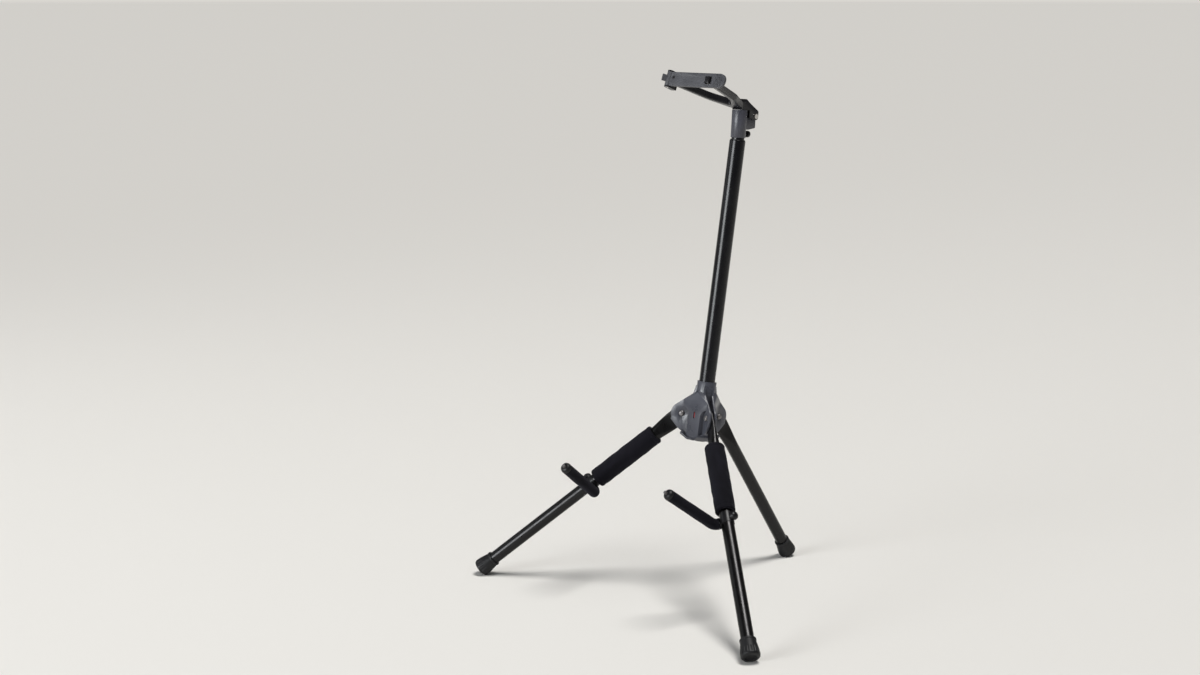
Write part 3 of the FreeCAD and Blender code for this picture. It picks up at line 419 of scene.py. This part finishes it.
def gloss_paint(name, colour, roughness, coat, shine):
    """Sprayed gloss paint: faint orange peel, dust-like roughness patches and a clear coat."""
    material, tree, shader = new_finish(name, colour, roughness)
    shader.inputs["Specular IOR Level"].default_value = shine
    shader.inputs["Coat Weight"].default_value = coat
    shader.inputs["Coat Roughness"].default_value = 0.2
    vector = coordinates(tree, "Object")
    peel = noise(tree, vector, scale=1800, detail=2)
    bumped(tree, shader, peel, strength=0.03, depth=0.00002)
    dust = noise(tree, vector, scale=60, detail=4)
    rough_patches(tree, shader, dust, roughness * 0.9, roughness * 1.15)
    lighter = tuple(c + 0.002 for c in shaded(colour, 1.5))
    tinted(tree, shader, noise(tree, vector, scale=25, detail=4), colour, lighter)
    return material


def satin_metal(name, colour, roughness, metallic):
    """Drawn, darkened metal tube: fine lines along its length in the UV map and a cloudy sheen."""
    material, tree, shader = new_finish(name, colour, roughness, metallic)
    lines = coordinates(tree, "UV", scale=(1400, 14, 1))
    cloud = noise(tree, coordinates(tree, "Object"), scale=90, detail=6)
    drawn = noise(tree, lines, scale=1, detail=4, roughness=0.6)
    bumped(tree, shader, drawn, strength=0.03, depth=0.00002)
    rough_patches(tree, shader, cloud, roughness * 0.85, roughness * 1.2)
    streaks = noise(tree, lines, scale=0.6, detail=3)
    tinted(tree, shader, streaks, shaded(colour, 0.88), shaded(colour, 1.12))
    return material


def moulded_plastic(name, colour, roughness, grain, depth, shine=0.5):
    """Moulded plastic or rubber: a fine spark-eroded grain, faint flow clouds and uneven gloss."""
    material, tree, shader = new_finish(name, colour, roughness)
    shader.inputs["Specular IOR Level"].default_value = shine
    vector = coordinates(tree, "Object")
    sparks = noise(tree, vector, scale=grain, detail=4, roughness=0.65)
    bumped(tree, shader, sparks, strength=0.3, depth=depth)
    cloud = noise(tree, vector, scale=45, detail=5)
    rough_patches(tree, shader, cloud, roughness * 0.85, roughness * 1.2)
    tinted(tree, shader, cloud, shaded(colour, 0.85), shaded(colour, 1.15))
    return material


def velvet_cover(name, colour, nap):
    """Short-napped black cover: a faint edge light, a fine nap and brushed patches."""
    material, tree, shader = new_finish(name, colour, roughness=0.9)
    shader.inputs["Specular IOR Level"].default_value = 0.15
    shader.inputs["Sheen Weight"].default_value = 0.05
    shader.inputs["Sheen Roughness"].default_value = 0.45
    shader.inputs["Sheen Tint"].default_value = (0.75, 0.75, 0.95, 1)
    fibres = noise(tree, coordinates(tree, "UV"), scale=nap, detail=3, roughness=0.7)
    bumped(tree, shader, fibres, strength=0.6, depth=0.0003)
    brushed = noise(tree, coordinates(tree, "UV", scale=(40, 18, 1)), scale=1, detail=4)
    tinted(tree, shader, brushed, shaded(colour, 0.6), shaded(colour, 1.6))
    return material


def plain_steel(name, colour, roughness):
    """Plated steel: bare metal with a faint polishing haze and a slightly uneven skin."""
    material, tree, shader = new_finish(name, colour, roughness, metallic=1.0)
    vector = coordinates(tree, "Object")
    haze = noise(tree, vector, scale=400, detail=5)
    rough_patches(tree, shader, haze, roughness * 0.7, roughness * 1.5)
    bumped(tree, shader, noise(tree, vector, scale=1500, detail=2), strength=0.08, depth=0.00003)
    return material


mast_black = gloss_paint("mast_black", (0.003, 0.003, 0.004), roughness=0.26, coat=0.2, shine=0.2)
leg_charcoal = satin_metal("leg_charcoal", (0.030, 0.0295, 0.030), roughness=0.30, metallic=1.0)
hub_grey = moulded_plastic("hub_grey", (0.058, 0.061, 0.076), roughness=0.30, grain=1500,
                           depth=0.00003)
sole_grey = moulded_plastic("sole_grey", (0.035, 0.037, 0.048), roughness=0.4, grain=1500,
                            depth=0.00006)
head_grey = gloss_paint("head_grey", (0.036, 0.037, 0.048), roughness=0.36, coat=0.1, shine=0.5)
yoke_grey = moulded_plastic("yoke_grey", (0.009, 0.009, 0.011), roughness=0.30, grain=1300,
                            depth=0.00003, shine=0.35)
strap_rubber = moulded_plastic("strap_rubber", (0.062, 0.063, 0.072), roughness=0.50, grain=1100,
                               depth=0.00008)
foot_rubber = moulded_plastic("foot_rubber", (0.008, 0.008, 0.009), roughness=0.45, grain=1200,
                              depth=0.00005, shine=0.3)
trim_black = moulded_plastic("trim_black", (0.006, 0.006, 0.007), roughness=0.35, grain=1300,
                             depth=0.00003, shine=0.3)
lock_red = moulded_plastic("lock_red", (0.35, 0.012, 0.010), roughness=0.35, grain=1300,
                           depth=0.00005)
pad_cover = velvet_cover("pad_foam", (0.0045, 0.0042, 0.0070), nap=900)
steel = plain_steel("steel", (0.62, 0.60, 0.58), roughness=0.22)
dark_steel = plain_steel("dark_steel", (0.22, 0.21, 0.21), roughness=0.42)
# Painted shade: the hub's inner corners, slots and pockets are darkened in its base colour
painted_corner_shade(hub_grey, reach=0.006)

NODE_FINISH = {
    "hub_body": hub_grey, "hub_sole_plate": sole_grey, "leg_lock": lock_red,
    "leg_pivot_rivets": dark_steel, "mast_tube": mast_black, "mast_plug": trim_black,
    "mast_guide_bush": trim_black, "inner_tube": mast_black, "inner_tube_glide": trim_black,
    "head_socket": head_grey, "head_knob": trim_black, "yoke_fork": yoke_grey,
    "yoke_hinge_pin": steel, "strap_post": steel, "strap": strap_rubber,
}
for side in LEG_AZIMUTH:
    NODE_FINISH["leg_tube_" + side] = leg_charcoal
    NODE_FINISH["foot_cap_" + side] = foot_rubber
for side in SIDE:
    NODE_FINISH["arm_bushes_" + side] = trim_black
    NODE_FINISH["arm_rod_" + side] = dark_steel
    NODE_FINISH["arm_cap_" + side] = trim_black
    NODE_FINISH["arm_nut_" + side] = trim_black
    NODE_FINISH["arm_sleeve_" + side] = pad_cover
    NODE_FINISH["leg_pad_" + side] = pad_cover

# Carried-over solids
SOFT_EDGE = {"hub_body": 0.0006, "hub_sole_plate": 0.0005, "head_socket": 0.0006,
             "yoke_fork": 0.0006, "strap": 0.0006, "leg_lock": 0.0003}
MERGE_GAP = 0.00001
SOFT_EDGE_ANGLE = 22
SOFT_EDGE_SEGMENTS = 2
SOFT_SPLIT_ANGLE = 24
PLAIN_SPLIT_ANGLE = 38


def dress_solid(name, node):
    """A solid's finish, its facets merged and, where SOFT_EDGE names it, its edges softened."""
    node.data.materials.clear()
    node.data.materials.append(NODE_FINISH[name])
    node.data.polygons.foreach_set("use_smooth", np.ones(len(node.data.polygons), bool))
    weld = node.modifiers.new("merge", "WELD")
    weld.merge_threshold = MERGE_GAP
    split_angle = PLAIN_SPLIT_ANGLE
    if name in SOFT_EDGE:
        bevel = node.modifiers.new("soft_edge", "BEVEL")
        bevel.width = SOFT_EDGE[name]
        bevel.segments = SOFT_EDGE_SEGMENTS
        bevel.limit_method = "ANGLE"
        bevel.angle_limit = math.radians(SOFT_EDGE_ANGLE)
        bevel.harden_normals = True
        split_angle = SOFT_SPLIT_ANGLE
    split = node.modifiers.new("crisp_edge", "EDGE_SPLIT")
    split.split_angle = math.radians(split_angle)


for name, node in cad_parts.items():
    dress_solid(name, node)


def stadium(share, half_width, half_thick):
    """Points of a stadium (two half circles and two straight sides) at shares of the way round it.

    In the first quarter the line runs up the straight side and then round a quarter circle whose
    radius is half the thickness. The other quarters mirror it."""
    quarter = np.mod(share * 4, 4)
    odd = np.floor(quarter).astype(int) % 2 == 1
    part = np.where(odd, 1 - np.mod(quarter, 1), np.mod(quarter, 1))
    straight = half_width - half_thick
    travel = part * (straight + half_thick * TURN / 4)
    swing = np.maximum(travel - straight, 0) / half_thick
    y = half_thick * np.cos(swing)
    z = np.minimum(travel, straight) + half_thick * np.sin(swing)
    y_sign = np.where((quarter < 1) | (quarter >= 3), 1, -1)
    z_sign = np.where(quarter < 2, 1, -1)
    return y * y_sign, z * z_sign


def leg_skin(side):
    """A leg pressed flat at its upper end: at each place along x its section is a stadium.

    Half the thickness grows from the blade's to the tube's radius between the blade's end and the
    neck's end, by the mean of a straight line and a smooth step, and half the width falls with it
    to the same radius. The blade's tail is cut to a half circle."""
    length = LEG_LENGTH[side] - CAP_FLOOR
    tail = -BLADE_HALF_WIDTH * np.cos(np.linspace(TAIL_FIRST_ANGLE, TURN / 4, TAIL_ROWS))
    neck = np.linspace(NECK_FIRST_ROW, NECK_END, NECK_ROWS)
    tube = np.linspace(NECK_END + TUBE_ROW_GAP, length, TUBE_ROWS)
    along = np.concatenate([tail, neck, tube])
    grown = np.clip((along - BLADE_END) / (NECK_END - BLADE_END), 0, 1)
    grown = (grown + smooth_step(grown)) / 2
    half_thick = BLADE_HALF_THICKNESS + (LEG_RADIUS - BLADE_HALF_THICKNESS) * grown
    half_width = BLADE_HALF_WIDTH + (LEG_RADIUS - BLADE_HALF_WIDTH) * grown
    tail_width = np.sqrt(BLADE_HALF_WIDTH ** 2 - np.minimum(along, 0) ** 2)
    half_width = np.minimum(half_width, tail_width)
    half_thick = np.minimum(half_thick, half_width)
    share = np.arange(TUBE_COLUMNS) / TUBE_COLUMNS
    y, z = stadium(share[None, :], half_width[:, None], half_thick[:, None])
    points = placed(np.stack([along[:, None] + 0 * y, y, z], axis=-1), leg_place(side))
    surface("leg_skin_" + side, points, (TURN * LEG_RADIUS, length), "leg_" + side,
            leg_charcoal, ["leg_tube_" + side])


def foot_cap(side):
    """A rubber tip turned round the leg: its outline has a lip ring, a flared wall and a round edge.

    Flutes sink the lower wall by a depth times a power of the cosine of the flute angle above a
    level, faded in and out along the cap by smooth steps. The sole is cut flat at the floor."""
    length = LEG_LENGTH[side]
    start = length - CAP_LENGTH
    lip_end = start + LIP_LENGTH
    corner_shade = length - HOLLOW_DEPTH
    outline = corner_run([
        (start, LEG_RADIUS, 0.0), (start, LIP_RADIUS, LIP_UPPER_ROUND),
        (lip_end, LIP_RADIUS, LIP_LOWER_ROUND),
        (lip_end + LIP_SLOPE, WALL_TOP_RADIUS, WALL_TOP_ROUND),
        (length - WALL_WIDE_HEIGHT, WALL_WIDE_RADIUS, WALL_WIDE_ROUND),
        (length, SOLE_RADIUS, SOLE_ROUND), (length, HOLLOW_RADIUS, 0.0),
        (corner_shade, HOLLOW_RADIUS - HOLLOW_SLOPE, HOLLOW_ROUND), (corner_shade, 0.0, 0.0)], TIP_ARC_STEPS)
    outline = stretched(outline, TIP_SPACING)
    along = outline[:, 0]
    columns = FLUTES * FLUTE_COLUMNS
    wall = smooth_step((along - (length - FLUTE_TOP)) / FLUTE_FADE)
    wall = wall * smooth_step((length - FLUTE_FOOT - along) / FLUTE_FADE)
    wave = np.cos(FLUTES * angles_round(columns))
    groove = np.clip((wave - FLUTE_LEVEL) / (1 - FLUTE_LEVEL), 0, 1) ** FLUTE_POWER
    outer = smooth_step((outline[:, 1] - FLUTE_INNER_RADIUS) / FLUTE_FADE)
    radius = outline[:, 1:2] - FLUTE_DEPTH * (wall * outer)[:, None] * groove[None, :]
    points = placed(round_grid(along, radius, columns), leg_place(side))
    points[..., 2] = np.maximum(points[..., 2], 0)
    surface("foot_tip_" + side, points, (TURN * TIP_MEAN_RADIUS, CAP_LENGTH), "leg_" + side,
            foot_rubber, ["foot_cap_" + side])


def leg_pad(side):
    """A soft sleeve on a front leg: a rounded tube outline, swollen in the middle by a half sine.

    The cover's slack adds low sine waves along and round it, a dent at the hem near each end and
    a shallow seam line along one side. Hems and seam are bell curves."""
    outline = corner_run([
        (PAD_START + PAD_END_DIP, PAD_UPPER_BORE, 0.0),
        (PAD_START, PAD_TURN_RADIUS, PAD_TURN_ROUND),
        (PAD_START, PAD_SKIN_RADIUS, PAD_UPPER_ROUND),
        (PAD_END, PAD_SKIN_RADIUS, PAD_LOWER_ROUND),
        (PAD_END, PAD_TURN_RADIUS, PAD_TURN_ROUND),
        (PAD_END - PAD_END_DIP, PAD_LOWER_BORE, 0.0)], PAD_ARC_STEPS)
    outline = stretched(outline, PAD_SPACING)
    angle = angles_round(PAD_COLUMNS)
    along = outline[:, 0]
    share = (along - PAD_START) / (PAD_END - PAD_START)
    skin = smooth_step((outline[:, 1] - PAD_SKIN_FROM) / PAD_SKIN_FADE)[:, None]
    phase = PAD_PHASE * SIDE[side]
    slack = sum(depth * np.sin(run * share[:, None] + waves * angle + phases * phase)
                for depth, run, waves, phases in PAD_WAVES)
    upper_hem = np.exp(-((along - PAD_START - HEM_INSET) / HEM_WIDTH) ** 2)
    lower_hem = np.exp(-((along - PAD_END + HEM_INSET) / HEM_WIDTH) ** 2)
    hem = (upper_hem + lower_hem)[:, None]
    from_seam = np.mod(angle + TURN / 4 + TURN / 2, TURN) - TURN / 2
    seam = np.exp(-(from_seam / SEAM_WIDTH) ** 2)[None, :]
    full = PAD_FULLNESS * np.sin(np.pi * np.clip(share, 0, 1))[:, None]
    radius = outline[:, 1:2] + skin * (slack + full - HEM_DEPTH * hem - SEAM_DEPTH * seam)
    points = placed(round_grid(along, radius, PAD_COLUMNS), leg_place(side))
    piece = surface("pad_cover_" + side, points, (TURN * PAD_RADIUS, PAD_END - PAD_START),
                    "leg_" + side, pad_cover, ["leg_pad_" + side])


def pivot_band(side):
    """A thin black band round a front leg at the arm's pin: a ring outline turned round the leg."""
    start = ARM_PIN_PLACE - BAND_LENGTH / 2
    end = ARM_PIN_PLACE + BAND_LENGTH / 2
    sunk = LEG_RADIUS - BAND_SINK
    outline = corner_run([
        (start, sunk, 0.0), (start, BAND_RADIUS, BAND_ROUND), (end, BAND_RADIUS, BAND_ROUND),
        (end, sunk, 0.0)], BAND_ARC_STEPS)
    points = placed(round_grid(outline[:, 0], outline[:, 1], TUBE_COLUMNS), leg_place(side))
    surface("pivot_band_" + side, points, (TURN * BAND_RADIUS, BAND_LENGTH), "leg_" + side,
            trim_black)


def arm_line(marks):
    """Points and sideways directions on a support arm's centre line at lengths along it.

    The line comes down z, turns a quarter circle and runs out along x; the two directions that
    come back are square to it, one in its plane and one across."""
    swing = np.clip((marks - SLEEVE_STRAIGHT) / ARM_BEND_RADIUS, 0, TURN / 4)
    run = np.maximum(marks - SLEEVE_STRAIGHT - ARM_BEND_LENGTH, 0)
    x = ARM_BEND_RADIUS * (1 - np.cos(swing)) + run
    z = -SLEEVE_START - np.minimum(marks, SLEEVE_STRAIGHT) - ARM_BEND_RADIUS * np.sin(swing)
    centre = np.stack([x, 0 * x, z], axis=-1)
    inward = np.stack([np.cos(swing), 0 * x, np.sin(swing)], axis=-1)
    across = np.stack([0 * x, 0 * x + 1, 0 * x], axis=-1)
    return centre, inward, across


def arm_sleeve(side):
    """The soft sleeve of a support arm: circles carried along the arm's line.

    The radius is the sleeve's, drawn in at both ends by a quarter circle, with low sine waves for
    slack and small folds on the inside of the bend."""
    total = SLEEVE_STRAIGHT + ARM_BEND_LENGTH + ARM_LENGTH - ARM_CAP_LENGTH - ARM_BEND_RADIUS
    ease = SLEEVE_END_ZONE * (0.5 - 0.5 * np.cos(np.linspace(0, TURN / 2, SLEEVE_END_ROWS)))
    inset = SLEEVE_END_ZONE + SLEEVE_ROW_GAP
    middle = np.linspace(inset, total - inset, SLEEVE_ROWS)
    marks = np.concatenate([ease, middle, total - SLEEVE_END_ZONE + ease])
    centre, inward, across = arm_line(marks)
    low = np.clip(marks / SLEEVE_END_ROUND, 0, 1)
    high = np.clip((total - marks) / SLEEVE_END_ROUND, 0, 1)
    edge = np.minimum(low, high)
    drawn = SLEEVE_END_ROUND * (1 - np.sqrt(np.maximum(1 - (1 - edge) ** 2, 0)))
    angle = angles_round(SLEEVE_COLUMNS)
    from_bend = marks - SLEEVE_STRAIGHT - ARM_BEND_LENGTH / 2
    bend = np.exp(-(from_bend / (ARM_BEND_LENGTH * FOLD_REACH)) ** 2)
    inner = np.clip(np.cos(angle), 0, 1)
    fold = FOLD_DEPTH * (bend * np.sin(marks * TURN / FOLD_PITCH))[:, None] * inner
    slack = sum(depth * np.sin(run * marks[:, None] + waves * angle)
                for depth, run, waves in SLEEVE_WAVES)
    radius = SLEEVE_RADIUS - SLEEVE_INSET - drawn[:, None] + edge[:, None] * (fold + slack)
    ring = inward[:, None] * np.cos(angle)[:, None] + across[:, None] * np.sin(angle)[:, None]
    points = placed(centre[:, None] + radius[..., None] * ring, arm_place(side))
    piece = surface("sleeve_cover_" + side, points, (TURN * SLEEVE_RADIUS, total), "arm_" + side,
                    pad_cover, ["arm_sleeve_" + side])


def mast_skin():
    """The mast: its outline of outer wall, rolled rim and bore turned round the mast axis."""
    bore = MAST_RADIUS - MAST_WALL
    outline = corner_run([
        (MAST_BOTTOM, bore, 0.0), (MAST_BOTTOM, MAST_RADIUS, MAST_FOOT_ROUND),
        (MAST_TOP, MAST_RADIUS, MAST_RIM), (MAST_TOP, bore, MAST_BORE_ROUND),
        (MAST_TOP - MAST_BORE_DEPTH, bore, 0.0)], MAST_ARC_STEPS)
    outline = stretched(outline, MAST_SPACING)
    upright = turned(1, -90)
    points = placed(round_grid(outline[:, 0], outline[:, 1], TUBE_COLUMNS), STAND @ upright)
    surface("mast_skin", points, (TURN * MAST_RADIUS, MAST_TOP - MAST_BOTTOM), "base",
            mast_black, ["mast_tube"])


for side in LEG_AZIMUTH:
    leg_skin(side)
    foot_cap(side)
for side in SIDE:
    leg_pad(side)
    pivot_band(side)
    arm_sleeve(side)
mast_skin()

# Floor and light
FLOOR_REACH = 400.0
FLOOR_ROUGHNESS = 0.7
FLOOR_SHINE = 0.15
PALE = (0.78, 0.765, 0.735)
COOL_WHITE = (0.95, 0.98, 1.0)
WARM_WHITE = (1.0, 0.99, 0.97)
MIDDLE = (0.0, 0.0, 0.40)
KEY_PLACE = (-1.05, -7.0, 1.95)
KEY_POWER = 37
KEY_WIDTH = 4.3
KEY_HEIGHT = 2.1
KEY_SPREAD = 50
SIDE_LAMP_PLACE = (-2.9, -1.6, 1.6)
SIDE_LAMP_POWER = 6
SIDE_LAMP_WIDTH = 1.2
SUN_FROM = (0.20, 0.05, 0.98)
SUN_LEVEL = 2.4
SUN_ANGLE = 22
SKY_COLOUR = (0.92, 0.92, 0.92)
SKY_LEVEL = 0.14
# Close to the far floor's own brightness, so that the floor's end hardly shows
BACKDROP_COLOUR = (0.684, 0.664, 0.627)


def studio_floor():
    """A plain pale floor: one level square that reaches far past the picture's edges."""
    corners = np.array([[-1, -1, 0], [1, -1, 0], [1, 1, 0], [-1, 1, 0]]) * FLOOR_REACH
    mesh = bpy.data.meshes.new("studio_floor")
    mesh.from_pydata(corners.tolist(), [], [(0, 1, 2, 3)])
    material, _, shader = new_finish("pale_floor", PALE, FLOOR_ROUGHNESS)
    shader.inputs["Specular IOR Level"].default_value = FLOOR_SHINE
    mesh.materials.append(material)
    floor = bpy.data.objects.new("studio_floor", mesh)
    scene.collection.objects.link(floor)


def aimed(name, data, place, direction):
    """A lamp or camera at a place, turned to face along a direction."""
    thing = bpy.data.objects.new(name, data)
    thing.location = place
    thing.rotation_mode = "QUATERNION"
    thing.rotation_quaternion = direction.to_track_quat("-Z", "Y")
    scene.collection.objects.link(thing)
    return thing


def add_lamp(name, kind, place, aim, power, colour):
    """A lamp of one kind at a place, turned to face a point."""
    data = bpy.data.lights.new(name, kind)
    data.energy = power
    data.color = colour
    aimed(name, data, place, Vector(aim) - Vector(place))
    return data


def studio_lamps():
    """A low wide key lamp with a narrow beam, a weak lamp at the left and a soft sun overhead."""
    key = add_lamp("key_lamp", "AREA", KEY_PLACE, MIDDLE, KEY_POWER, COOL_WHITE)
    key.shape = "RECTANGLE"
    key.size = KEY_WIDTH
    key.size_y = KEY_HEIGHT
    key.spread = math.radians(KEY_SPREAD)
    side_lamp = add_lamp("side_lamp", "AREA", SIDE_LAMP_PLACE, MIDDLE, SIDE_LAMP_POWER, COOL_WHITE)
    side_lamp.size = SIDE_LAMP_WIDTH
    sun = add_lamp("soft_sun", "SUN", SUN_FROM, (0, 0, 0), SUN_LEVEL, WARM_WHITE)
    sun.angle = math.radians(SUN_ANGLE)


def studio_world():
    """A dim even sky for light and mirror images, and a plain pale backdrop for the camera alone."""
    world = bpy.data.worlds.new("studio")
    scene.world = world
    world.use_nodes = True
    nodes = world.node_tree.nodes
    links = world.node_tree.links
    sky = nodes["Background"]
    sky.inputs["Color"].default_value = (*SKY_COLOUR, 1)
    sky.inputs["Strength"].default_value = SKY_LEVEL
    backdrop = nodes.new("ShaderNodeBackground")
    backdrop.inputs["Color"].default_value = (*BACKDROP_COLOUR, 1)
    backdrop.inputs["Strength"].default_value = 1.0
    seen = nodes.new("ShaderNodeLightPath")
    choice = nodes.new("ShaderNodeMixShader")
    links.new(seen.outputs["Is Camera Ray"], choice.inputs["Fac"])
    links.new(sky.outputs["Background"], choice.inputs[1])
    links.new(backdrop.outputs["Background"], choice.inputs[2])
    links.new(choice.outputs["Shader"], nodes["World Output"].inputs["Surface"])


# Camera at the photograph's place, with its lens and sensor in millimetres
CAMERA_PLACE = (1.8891, -2.1139, 0.9353)
HEADING = np.array([-0.7085, 0.7057])
PITCH = 10.565
LENS = 54.51
SENSOR_WIDTH = 36.0


def photo_camera():
    """A camera that faces along its heading and down by its pitch."""
    pitch = math.radians(PITCH)
    data = bpy.data.cameras.new("camera")
    data.sensor_width = SENSOR_WIDTH
    data.lens = LENS
    look = Vector((*HEADING * math.cos(pitch), -math.sin(pitch)))
    scene.camera = aimed("camera", data, CAMERA_PLACE, look)


studio_floor()
studio_lamps()
studio_world()
photo_camera()
